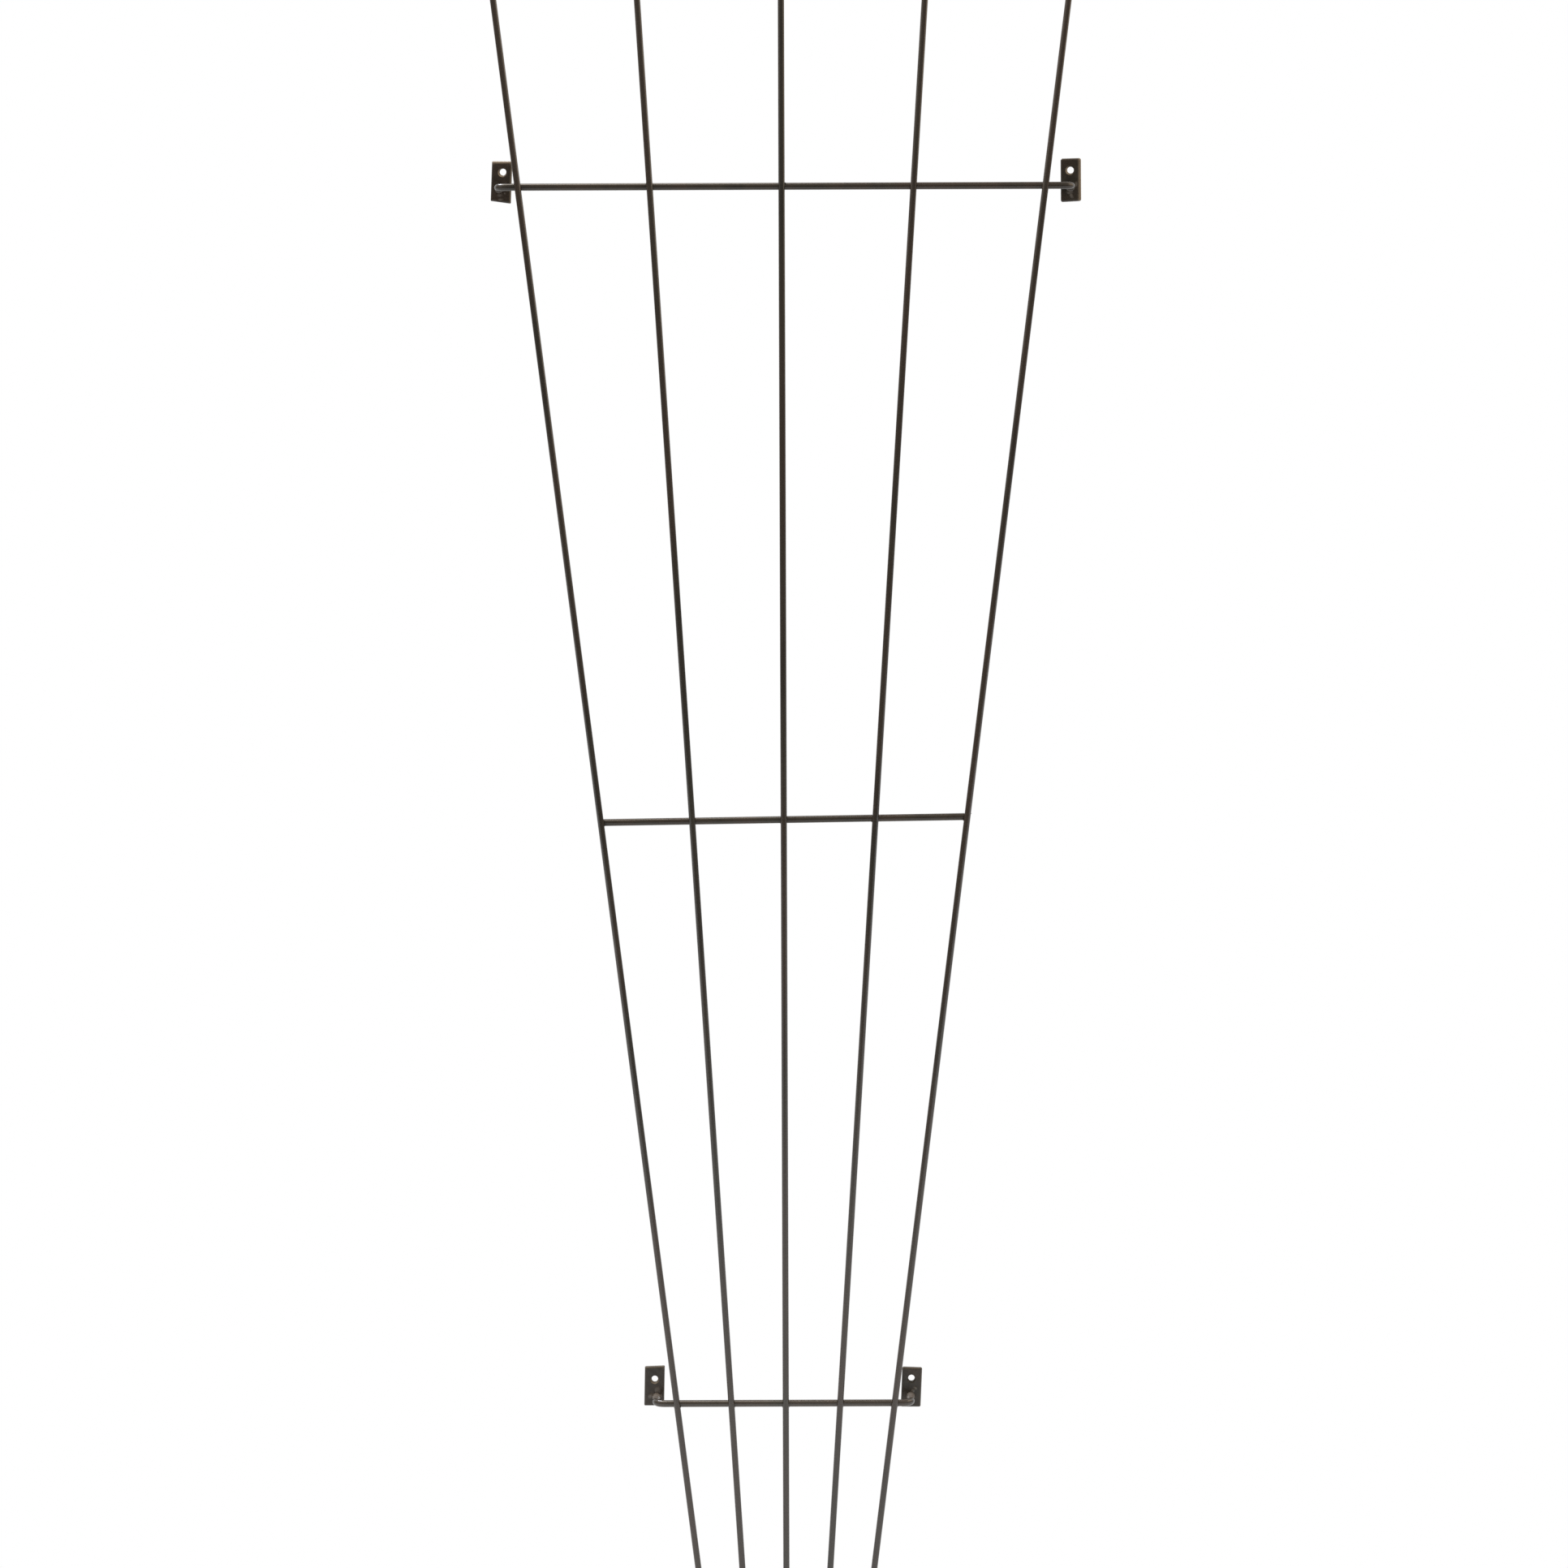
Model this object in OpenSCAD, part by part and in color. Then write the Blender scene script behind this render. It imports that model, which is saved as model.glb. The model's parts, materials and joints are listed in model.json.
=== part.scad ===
// Espalier frame: a flat fan of straight steel uprights welded in front of three round cross bars.
// The upper and lower bars run past the fan, bend back to the wall and end on four screw plates.
// Millimetres. X runs to the right as seen from the front, Y towards the wall, Z up.
// The origin lies on the wall, midway between the two upper screw holes.

/* [Uprights] */
// How many uprights the fan has
upright_count = 5; // [3:1:9]
// Diameter of an upright over its coat
upright_d = 6.3; // [5:0.1:12]
// Distance between the outer uprights' axes at their feet
foot_spread = 124; // [100:1:300]
// Distance between the outer uprights' axes at their tops
top_spread = 617; // [350:1:900]
// Length of the uprights below the lower bar, measured upright
foot_reach = 378; // [100:1:600]
// Length of the uprights above the upper bar, measured upright
top_reach = 415; // [100:1:600]
// Chamfer round both ends of an upright
end_chamfer = 0.8; // [0.2:0.1:2]

/* [Cross bars] */
// Diameter of a cross bar over its coat
bar_d = 7; // [6:0.1:12]
// Height from the lower bar to the middle bar
lower_gap = 586; // [200:1:900]
// Height from the middle bar to the upper bar
upper_gap = 621; // [200:1:900]
// Clear space between the wall and the backs of the bars
wall_gap = 28; // [20:1:100]
// Inside radius of the bends at the ends of the upper and lower bars
bend_inside_r = 6; // [3:0.5:8]
// How far the middle bar runs past the axes of the outer uprights
middle_bar_reach = 3; // [2:0.5:20]

/* [Wall plates] */
// Width of a wall plate
plate_w = 20; // [20:1:40]
// Thickness of a wall plate
plate_t = 4; // [2:0.5:8]
// Diameter of the screw hole in a wall plate
screw_hole_d = 6.5; // [4:0.5:8]
// Width of the countersunk rim round a screw hole
countersink_w = 1.8; // [0.2:0.1:1.8]
// Height of the upper screw holes above the upper bar
upper_hole_rise = 16; // [14:0.5:24]
// Height of the lower screw holes above the lower bar
lower_hole_rise = 19; // [14:0.5:24]

/* [Welds] */
// Depth to which uprights and bars are fused into each other where they cross
set_down = 0.4; // [0.1:0.1:1]
// Diameter of the beads above and below a bar at each crossing
bead_d = 7; // [7:0.5:12]
// Leg of the fillet between a bar's end and its wall plate
fillet_leg = 1.5; // [1:0.5:3]

/* [Set by hand when welding] */
// Overhang of the bars' bent ends past the outer uprights: upper left, upper right, lower left, lower right
overhang = [20, 26, 21.5, 17]; // [16:0.5:60]
// Tilt of the middle bar in degrees, with its right end up
middle_bar_tilt = 0.75; // [-2:0.05:2]
// Distance from each wall plate's bottom edge up to its bar end, in the same order
bar_end_rise = [13.6, 14.7, 8.5, 10.6]; // [8.5:0.1:20]
// Distance from each wall plate's top edge down to its screw hole, in the same order
hole_drop = [10.5, 11.5, 12.8, 10.8]; // [8:0.1:13]
// Turn of each wall plate in degrees, clockwise from the front, in the same order
plate_turn = [2.6, -0.5, 1.3, 2.4]; // [-5:0.1:5]
// Distance of each screw hole to the right of its bar end, in the same order
hole_shift = [3.9, 0.5, -1.5, 0.8]; // [-4:0.1:4]
// Distance of each screw hole to the right of its plate's middle, in the same order
hole_off = [1.2, -0.3, 0.2, -0.4]; // [-2:0.1:2]
// Slope of each wall plate's top cut in degrees, clockwise, in the same order
top_cut = [-2, -1, -3.5, 0]; // [-6:0.1:6]
// Slope of each wall plate's bottom cut in degrees, clockwise, in the same order
bottom_cut = [5.5, -2.5, -1.3, -2.2]; // [-6:0.1:6]

/* [Hidden] */
$fn = 64;
coat = "#3b342d";
plate_coat = "#352f29";
weld_coat = "#4a4239";

upright_r = upright_d / 2;
bar_r = bar_d / 2;
bend_r = bend_inside_r + bar_r;
bead_r = bead_d / 2;
screw_hole_r = screw_hole_d / 2;
// Length that cutting tools run past the faces they cut
cut = 1;

// Heights, counted down from the upper screw holes
upper_z = -upper_hole_rise;
middle_z = upper_z - upper_gap;
lower_z = middle_z - lower_gap;
top_z = upper_z + top_reach;
foot_z = lower_z - foot_reach;

// Depths, counted from the wall towards the front
plate_front_y = -plate_t;
bar_y = -wall_gap - bar_r;
contact_y = bar_y - bar_r + set_down;
upright_y = contact_y - upright_r;

// The fan stands where it puts the two upper screw holes at equal distances from the origin
fan_x = (overhang[0] - overhang[1] - hole_shift[0] - hole_shift[1]) / 2;
spread_rate = (top_spread - foot_spread) / (top_z - foot_z);

// Half the distance between the outer uprights' axes at a height
function half_spread(z) = (foot_spread + spread_rate * (z - foot_z)) / 2;

// Place of an upright across the fan: -1 is the left one, 1 the right one
function share(i) = 2 * i / (upright_count - 1) - 1;
function upright_x(i, z) = fan_x + share(i) * half_spread(z);
function lean(i) = atan2(upright_x(i, top_z) - upright_x(i, foot_z), top_z - foot_z);

// The cross bars: name, height at the middle of the fan, tilt
bars = [
    ["upper_bar", upper_z, 0],
    ["middle_bar", middle_z, middle_bar_tilt],
    ["lower_bar", lower_z, 0],
];

// Distance from the fan's middle to the point where an upright crosses a bar
function crossing_dx(i, bar) =
    share(i) * half_spread(bar[1]) / (1 - share(i) * spread_rate / 2 * tan(bar[2]));
function crossing(i, bar) =
    let (dx = crossing_dx(i, bar)) [fan_x + dx, contact_y, bar[1] + dx * tan(bar[2])];

last = upright_count - 1;
upper_ends_x = [upright_x(0, upper_z) - overhang[0], upright_x(last, upper_z) + overhang[1]];
lower_ends_x = [upright_x(0, lower_z) - overhang[2], upright_x(last, lower_z) + overhang[3]];

// The wall plates: name, bar end's X, bar end's Z, screw hole's Z, place in the lists of what was set by hand
lower_hole_z = lower_z + lower_hole_rise;
plates = [
    ["upper_left_plate", upper_ends_x[0], upper_z, 0, 0],
    ["upper_right_plate", upper_ends_x[1], upper_z, 0, 1],
    ["lower_left_plate", lower_ends_x[0], lower_z, lower_hole_z, 2],
    ["lower_right_plate", lower_ends_x[1], lower_z, lower_hole_z, 3],
];

function upright_name(i) = str("upright_", i + 1);
function weld_name(bar, i) = str(bar[0], "_weld_", i + 1);
function plate_weld_name(plate) = str(plate[0], "_weld");

// A round rod along +Z with both ends chamfered
module chamfered_rod(length, r, chamfer) {
    rotate_extrude()
        polygon([
            [0, 0], [r - chamfer, 0], [r, chamfer],
            [r, length - chamfer], [r - chamfer, length], [0, length],
        ]);
}

module upright(i) {
    length = (top_z - foot_z) / cos(lean(i));
    color(coat)
        translate([upright_x(i, foot_z), upright_y, foot_z])
            rotate([0, lean(i), 0])
                chamfered_rod(length, upright_r, end_chamfer);
}

// The seats that the uprights are fused into
module upright_seats() {
    for (i = [0 : last]) upright(i);
}

// A quarter bend in the XY plane about the origin, starting at an angle
module quarter_bend(start) {
    rotate([0, 0, start])
        rotate_extrude(angle = 90)
            translate([bend_r, 0]) circle(r = bar_r);
}

// One bar's end that runs back to its wall plate
module bar_end(x) {
    translate([x, bend_r, 0])
        rotate([-90, 0, 0])
            cylinder(h = plate_front_y - bar_y - bend_r, r = bar_r);
}

// A bar whose two ends are bent back to the wall
module bent_bar(ends_x, z) {
    straight = ends_x[1] - ends_x[0] - 2 * bend_r;
    color(coat)
        difference() {
            translate([0, bar_y, z]) {
                translate([ends_x[0] + bend_r, 0, 0]) rotate([0, 90, 0]) cylinder(h = straight, r = bar_r);
                translate([ends_x[0] + bend_r, bend_r, 0]) quarter_bend(180);
                translate([ends_x[1] - bend_r, bend_r, 0]) quarter_bend(270);
                bar_end(ends_x[0]);
                bar_end(ends_x[1]);
            }
            upright_seats();
        }
}

module upper_bar() {
    bent_bar(upper_ends_x, upper_z);
}

module lower_bar() {
    bent_bar(lower_ends_x, lower_z);
}

// A straight run along a bar's axis, between two distances from the middle of the fan
module bar_run(bar, from_dx, to_dx) {
    tilt = bar[2];
    translate([fan_x + from_dx, bar_y, bar[1] + from_dx * tan(tilt)])
        rotate([0, 90 - tilt, 0])
            cylinder(h = (to_dx - from_dx) / cos(tilt), r = bar_r);
}

module middle_bar() {
    bar = bars[1];
    color(coat)
        difference() {
            bar_run(bar, crossing_dx(0, bar) - middle_bar_reach, crossing_dx(last, bar) + middle_bar_reach);
            upright_seats();
        }
}

// A plate's outline, with its middle at the height of its screw hole at the origin, both ends sheared at a slope
module plate_outline(top_y, bottom_y, top_slope, bottom_slope) {
    side = plate_w / 2;
    top_drop = side * tan(top_slope);
    bottom_drop = side * tan(bottom_slope);
    polygon([
        [-side, top_y + top_drop], [side, top_y - top_drop],
        [side, bottom_y - bottom_drop], [-side, bottom_y + bottom_drop],
    ]);
}

// A plate lies flat on the wall, turned a little about its own screw hole
module wall_plate(plate) {
    k = plate[4];
    top_y = hole_drop[k];
    bottom_y = plate[2] - plate[3] - bar_end_rise[k];
    color(plate_coat)
        translate([plate[1] + hole_shift[k], 0, plate[3]])
            rotate([0, plate_turn[k], 0])
                rotate([90, 0, 0])
                    difference() {
                        linear_extrude(plate_t)
                            translate([-hole_off[k], 0])
                                plate_outline(top_y, bottom_y, top_cut[k], bottom_cut[k]);
                        translate([0, 0, -cut]) cylinder(h = plate_t + 2 * cut, r = screw_hole_r);
                        translate([0, 0, plate_t - countersink_w])
                            cylinder(
                                h = countersink_w + cut,
                                r1 = screw_hole_r,
                                r2 = screw_hole_r + countersink_w + cut
                            );
                    }
}

// The two beads in the corners above and below a bar, behind one upright
module crossing_weld(bar, i) {
    reach = bead_r + bar_r;
    bead_y = bead_r / 4;
    dx = crossing_dx(i, bar);
    color(weld_coat)
        difference() {
            translate(crossing(i, bar))
                rotate([0, lean(i), 0])
                    for (side = [-bar_r, bar_r])
                        translate([0, bead_y, side]) sphere(r = bead_r);
            bar_run(bar, dx - reach, dx + reach);
            upright(i);
        }
}

// The fillet round a bar's end where it stands on its plate
module plate_weld(plate) {
    color(weld_coat)
        translate([plate[1], plate_front_y, plate[2]])
            rotate([90, 0, 0])
                rotate_extrude()
                    translate([bar_r, 0])
                        intersection() {
                            circle(r = fillet_leg);
                            square(fillet_leg);
                        }
}

for (i = [0 : last])
    upright(i);
upper_bar();
middle_bar();
lower_bar();
for (plate = plates)
    wall_plate(plate);
for (bar = bars)
    for (i = [0 : last])
        crossing_weld(bar, i);
for (plate = plates)
    plate_weld(plate);
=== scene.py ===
# %% [markdown]
# # A welded steel espalier frame
# Five round uprights fan out in front of three cross bars, and four small screw plates hold the frame to a
# wall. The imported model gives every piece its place. This lesson dresses it: each rod, plate and weld is
# drawn again as a smooth surface in the same place, with a dark bronze powder coat, and then lit as in a
# small studio.

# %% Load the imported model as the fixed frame
import json
import math

import bmesh
import bpy
import numpy as np
from mathutils import Matrix, Vector


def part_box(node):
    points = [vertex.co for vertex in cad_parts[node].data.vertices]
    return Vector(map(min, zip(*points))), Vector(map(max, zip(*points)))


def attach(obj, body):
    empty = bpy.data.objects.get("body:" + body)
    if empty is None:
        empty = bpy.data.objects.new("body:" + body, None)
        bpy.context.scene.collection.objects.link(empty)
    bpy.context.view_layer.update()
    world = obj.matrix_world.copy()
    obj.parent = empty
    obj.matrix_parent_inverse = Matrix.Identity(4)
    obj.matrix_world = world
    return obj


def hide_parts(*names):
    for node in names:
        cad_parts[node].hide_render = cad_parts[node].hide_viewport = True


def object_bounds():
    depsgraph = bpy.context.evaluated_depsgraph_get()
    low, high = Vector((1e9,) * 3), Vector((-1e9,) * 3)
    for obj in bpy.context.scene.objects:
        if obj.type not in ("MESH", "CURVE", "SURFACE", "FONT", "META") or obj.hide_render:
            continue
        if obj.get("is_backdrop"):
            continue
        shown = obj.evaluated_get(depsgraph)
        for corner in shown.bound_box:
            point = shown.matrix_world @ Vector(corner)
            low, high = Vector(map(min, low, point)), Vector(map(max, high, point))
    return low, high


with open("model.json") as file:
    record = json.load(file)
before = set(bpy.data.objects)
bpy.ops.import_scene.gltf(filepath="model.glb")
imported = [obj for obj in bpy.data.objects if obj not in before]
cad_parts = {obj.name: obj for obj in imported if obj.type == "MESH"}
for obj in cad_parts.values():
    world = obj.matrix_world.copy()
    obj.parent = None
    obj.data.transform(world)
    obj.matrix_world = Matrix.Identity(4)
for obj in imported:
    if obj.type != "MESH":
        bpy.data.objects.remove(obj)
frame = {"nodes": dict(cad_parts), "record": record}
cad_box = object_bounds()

MM = 0.001
record = frame["record"]
print("nodes:", len(frame["nodes"]), "box:", np.round(cad_box, 4).tolist())

# %% [markdown]
# ## The camera
# The frame is nearly as tall as the picture, and both ends of the fan run out of it. The view is a long lens
# from four and a half metres, looking down by about five degrees, which makes the lower bar show a little of
# its top. Blender could aim the camera with a constraint, but a matrix made of three directions also takes
# the small roll.

# %% Camera
PICTURE_PX = 1932
FOCAL_PX = 5625
SENSOR_MM = 36
VIEW_DISTANCE = 4.5
LOOK_DOWN = math.radians(5.1)
ROLL = math.radians(0.2)
AIM = np.array([-0.00485, -0.0391, -0.601])

forward = np.array([0, math.cos(LOOK_DOWN), -math.sin(LOOK_DOWN)])
level_right = np.array([1.0, 0.0, 0.0])
level_up = np.cross(level_right, forward)
right = math.cos(ROLL) * level_right - math.sin(ROLL) * level_up
up = math.cos(ROLL) * level_up + math.sin(ROLL) * level_right
axes = Matrix(np.column_stack([right, up, -forward]).tolist())

camera = bpy.data.objects.new("camera", bpy.data.cameras.new("camera"))
camera.data.sensor_width = SENSOR_MM
camera.data.lens = SENSOR_MM * FOCAL_PX / PICTURE_PX
camera.matrix_world = Matrix.Translation(AIM - VIEW_DISTANCE * forward) @ axes.to_4x4()
bpy.context.scene.collection.objects.link(camera)
bpy.context.scene.camera = camera
print("camera at", np.round(camera.matrix_world.translation, 3), "lens", round(camera.data.lens, 2))

# %% [markdown]
# ## From a grid of points to a piece
# Every surface here is a grid: its rows follow a path or a section, and each row closes on itself like a
# hoop. One helper lays the quads between the rows, merges the points that meet at poles and seams, turns all
# faces outwards and shades the result smooth. A modelling tool could do the same by hand, one piece at a
# time. A value from 0 to 1 on each point says how much of a lighter tone the finish mixes in there: a painted
# highlight where light falls on the plates and welds, and on the welds partly also their own thinner coat.

# %% Helper: grids to a mesh piece
MERGE_DISTANCE = 1e-7
pieces_in = {"coated_rod": [], "coated_plate": [], "coated_weld": []}


def hoop_quads(rows, columns):
    """Quads of a grid whose columns close into a ring: corners (r, c), (r, c+1), (r+1, c+1) and (r+1, c)."""
    r, c = np.meshgrid(np.arange(rows - 1), np.arange(columns), indexing="ij")
    following = (c + 1) % columns
    near, far = r * columns, (r + 1) * columns
    return np.stack([near + c, near + following, far + following, far + c], axis=-1).reshape(-1, 4)


def coated_piece(name, node, slot, grids, thin_and_highlight=None):
    """One mesh object that stands for a CAD node, from grids of shape (rows, columns, 3).

    The last argument holds one array of shape (rows, columns) for each grid, with each point's share of a
    lighter tone: a painted highlight, and on the welds partly their own thinner coat.
    """
    points = np.concatenate([grid.reshape(-1, 3) for grid in grids])
    starts = np.cumsum([0] + [grid.shape[0] * grid.shape[1] for grid in grids])
    quads = np.concatenate([hoop_quads(*grid.shape[:2]) + start for grid, start in zip(grids, starts)])
    mesh = bpy.data.meshes.new(name)
    mesh.from_pydata(points.tolist(), [], quads.tolist())
    # Each point's share of the lighter tone goes to the finish as an attribute: a painted highlight, on the
    # welds partly their own thinner coat
    if thin_and_highlight is not None:
        values = np.concatenate([part.ravel() for part in thin_and_highlight]).astype(np.float32)
        mesh.attributes.new("thin_film_and_highlight", "FLOAT", "POINT").data.foreach_set("value", values)
    shape = bmesh.new()
    shape.from_mesh(mesh)
    bmesh.ops.remove_doubles(shape, verts=shape.verts, dist=MERGE_DISTANCE)
    bmesh.ops.recalc_face_normals(shape, faces=shape.faces)
    shape.to_mesh(mesh)
    shape.free()
    mesh.shade_smooth()
    piece = bpy.data.objects.new(name, mesh)
    bpy.context.scene.collection.objects.link(piece)
    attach(piece, "root")
    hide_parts(node)
    pieces_in[slot].append(piece)


print("kinds of piece:", ", ".join(pieces_in))

# %% [markdown]
# ## Where the rods are
# An upright is a straight round rod, so two end points and a radius say all about it. They are measured on
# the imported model: the ring of corner points at each end lies evenly round the axis, so its mean is on the
# axis.

# %% Measure the straight rods
END_RING = 3 * MM
UPRIGHTS = [f"upright_{i}" for i in range(1, 6)]


def cad_points(node):
    """The distinct corner points of a CAD node's mesh, in metres, rounded to a micrometre."""
    mesh = frame["nodes"][node].data
    flat = np.empty(len(mesh.vertices) * 3)
    mesh.vertices.foreach_get("co", flat)
    return np.unique(flat.reshape(-1, 3).round(6), axis=0)


def rod_axis(node):
    """Lower end, upper end and radius of an upright.

    The means of the two end rings give the axis, and the points' reach along it gives the tips.
    """
    points = cad_points(node)
    low = points[points[:, 2] < points[:, 2].min() + END_RING].mean(axis=0)
    high = points[points[:, 2] > points[:, 2].max() - END_RING].mean(axis=0)
    along = (high - low) / np.linalg.norm(high - low)
    reach = (points - low) @ along
    away = np.linalg.norm(points - low - reach[:, None] * along, axis=1)
    return low + reach.min() * along, low + reach.max() * along, away.max()


upright_axes = {name: rod_axis(name) for name in UPRIGHTS}
for name, (low, high, radius) in upright_axes.items():
    print(name, low.round(5), high.round(5), "radius", round(radius, 5))

# %% [markdown]
# ## The uprights
# Each upright is drawn 6 mm steel rod, sawn to length and with its sharp ends broken. A cylinder with a bevel
# would do, but one swept profile serves the bent bars too: a round section carried along a path, with a
# radius at each point of the path. At the ends the radius falls to zero through a small quarter round, which
# closes the rod.

# %% Uprights
SIDES = 48
RING_STEP = 25 * MM
SAWN_EDGE = 0.7 * MM
EDGE_RINGS = 6
TO_WALL = np.array([0.0, 1.0, 0.0])


def swept(path, along, across, wide, deep):
    """A round or oval section carried along a path.

    point(i, a) = path[i] + wide[i] cos(a) across + deep[i] sin(a) (along[i] x across)
    """
    a = np.linspace(0, 2 * math.pi, SIDES, endpoint=False)[None, :, None]
    side = np.cross(along, across)[:, None, :]
    section = wide[:, None, None] * np.cos(a) * across + deep[:, None, None] * np.sin(a) * side
    return path[:, None, :] + section


def sawn_lengths(length, radius):
    """Distances along a sawn rod and its radius at each: flat end, quarter-round edge, body, and back."""
    turn = np.linspace(0, math.pi / 2, EDGE_RINGS)
    edge_at = SAWN_EDGE * (1 - np.cos(turn))
    edge_r = radius - SAWN_EDGE * (1 - np.sin(turn))
    body = np.linspace(SAWN_EDGE, length - SAWN_EDGE, round(length / RING_STEP))[1:-1]
    at = np.concatenate([[0], edge_at, body, length - edge_at[::-1], [length]])
    r = np.concatenate([[0], edge_r, np.full(body.size, radius), edge_r[::-1], [0]])
    return at, r


def straight_rod(low, high, radius, across):
    """A sawn rod between two points, square ends, with across any direction square to it."""
    length = np.linalg.norm(high - low)
    along = (high - low) / length
    at, r = sawn_lengths(length, radius)
    return swept(low + at[:, None] * along, np.tile(along, (at.size, 1)), across, r, r)


for name, (low, high, radius) in upright_axes.items():
    grid = straight_rod(low, high, radius, TO_WALL)
    coated_piece(f"{name}_rod", name, "coated_rod", [grid])
print("uprights:", len(UPRIGHTS), "with", SIDES, "sides")

# %% [markdown]
# ## The cross bars
# The bars are 7 mm rod. The upper and lower ones are bent back at both ends, cold, round a former, so the
# section in a bend is a little flatter across the bend and fatter along it. Their path is five stretches
# joined end to end: stub, quarter bend, run, quarter bend, stub. A bevelled curve would give the path but not
# the oval section.

# %% Bent bars
BEND_R = 9.5 * MM
BEND_FLATTENS = 0.05
BEND_FATTENS = 0.03
SUNK = 0.5 * MM
STUB_RINGS, BEND_RINGS, RUN_RINGS = 8, 21, 40
UP = np.array([0.0, 0.0, 1.0])
BENT_BARS = {
    "upper_bar": ("upper_left_plate", "upper_right_plate"),
    "lower_bar": ("lower_left_plate", "lower_right_plate"),
}


def bar_end(plate):
    """Where a bar's end stands on its plate: x and z of its axis, the plate's front y, the bar's radius."""
    low, high = (np.array(corner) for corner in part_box(f"{plate}_weld"))
    centre = (low + high) / 2
    points = cad_points(f"{plate}_weld")
    radius = np.hypot(points[:, 0] - centre[0], points[:, 2] - centre[2]).min()
    return centre[0], centre[2], high[1], radius


def bent_bar(node, left_plate, right_plate):
    """A bent bar's grid, the depth and height of its axis, and its radius.

    heading is the angle a round a bend, and the path runs along (-sin a, cos a, 0). In a quarter bend from
    angle a0 the section is squeezed by sin(2 (a - a0)) squared, which is zero at the bend's ends.
    """
    left, z, front, radius = bar_end(left_plate)
    right = bar_end(right_plate)[0]
    bar_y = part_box(node)[0][1] + radius
    stub_y = np.linspace(front + SUNK, bar_y + BEND_R, STUB_RINGS)[:-1]
    turn = np.linspace(0, math.pi / 2, BEND_RINGS)
    run_x = np.linspace(left + BEND_R, right - BEND_R, RUN_RINGS)[1:-1]
    angles = np.concatenate([math.pi + turn, 1.5 * math.pi + turn])
    bend_x = np.repeat([left + BEND_R, right - BEND_R], turn.size) + BEND_R * np.cos(angles)
    bend_y = bar_y + BEND_R + BEND_R * np.sin(angles)
    squeeze = np.sin(2 * turn) ** 2
    n = turn.size
    none = np.zeros(stub_y.size)
    x = np.concatenate([none + left, bend_x[:n], run_x, bend_x[n:], none + right])
    y = np.concatenate([stub_y, bend_y[:n], 0 * run_x + bar_y, bend_y[n:], stub_y[::-1]])
    ahead = 0 * run_x + 1.5 * math.pi
    heading = np.concatenate([none + math.pi, angles[:n], ahead, angles[n:], none + 2 * math.pi])
    squeeze = np.concatenate([none, squeeze, 0 * run_x, squeeze, none])
    path = np.column_stack([x, y, np.full(x.size, z)])
    along = np.column_stack([-np.sin(heading), np.cos(heading), 0 * x])
    wide = radius * (1 + BEND_FATTENS * squeeze)
    deep = radius * (1 - BEND_FLATTENS * squeeze)
    ends = [0, *range(x.size), x.size - 1]
    wide, deep = (np.concatenate([[0], values, [0]]) for values in (wide, deep))
    return swept(path[ends], along[ends], UP, wide, deep), bar_y, z, radius


bar_lines = {}
for name, (left_plate, right_plate) in BENT_BARS.items():
    grid, bar_y, z, bar_r = bent_bar(name, left_plate, right_plate)
    bar_lines[name] = (z, 0.0)
    coated_piece(f"{name}_rod", name, "coated_rod", [grid])
    print(name, "axis y", round(bar_y, 5), "z", round(z, 5), "radius", round(bar_r, 5))

# %% [markdown]
# The middle bar is a short straight rod that stops behind the outer uprights, and it was welded on with a
# slight tilt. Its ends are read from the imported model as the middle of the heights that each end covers. It
# is the same rod as the other two bars and lies at the same depth.

# %% Middle bar
BAR_END_RING = 1 * MM


def middle_bar_ends(depth):
    """Both ends of the middle bar's axis at a depth, from the corner points at its two ends."""
    points = cad_points("middle_bar")
    ends = []
    for edge in (points[:, 0].min(), points[:, 0].max()):
        z = points[np.abs(points[:, 0] - edge) < BAR_END_RING][:, 2]
        ends.append(np.array([edge, depth, (z.min() + z.max()) / 2]))
    return ends


middle_left, middle_right = middle_bar_ends(bar_y)
middle_slope = (middle_right[2] - middle_left[2]) / (middle_right[0] - middle_left[0])
bar_lines["middle_bar"] = (middle_left[2] - middle_slope * middle_left[0], middle_slope)
grid = straight_rod(middle_left, middle_right, bar_r, TO_WALL)
coated_piece("middle_bar_rod", "middle_bar", "coated_rod", [grid])
print("middle bar from", middle_left.round(5), "to", middle_right.round(5))

# %% [markdown]
# ## The wall plates
# Each plate is a piece sheared from 20 by 4 mm flat bar: out of square at both ends, with soft edges under
# the coat and one countersunk hole. A plate with one hole is a ring, so a single grid can cover it. One way
# round, the grid follows the outline. The other way, it goes from the hole over the front, round the edge,
# across the back and up the hole again. That keeps the hole truly round and the edges softly rounded without
# any cutting.

# %% Plate outline
ARC_POINTS = 9
SIDE_POINTS = 14
SHARPEST_CORNER = 0.02 * MM


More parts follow.
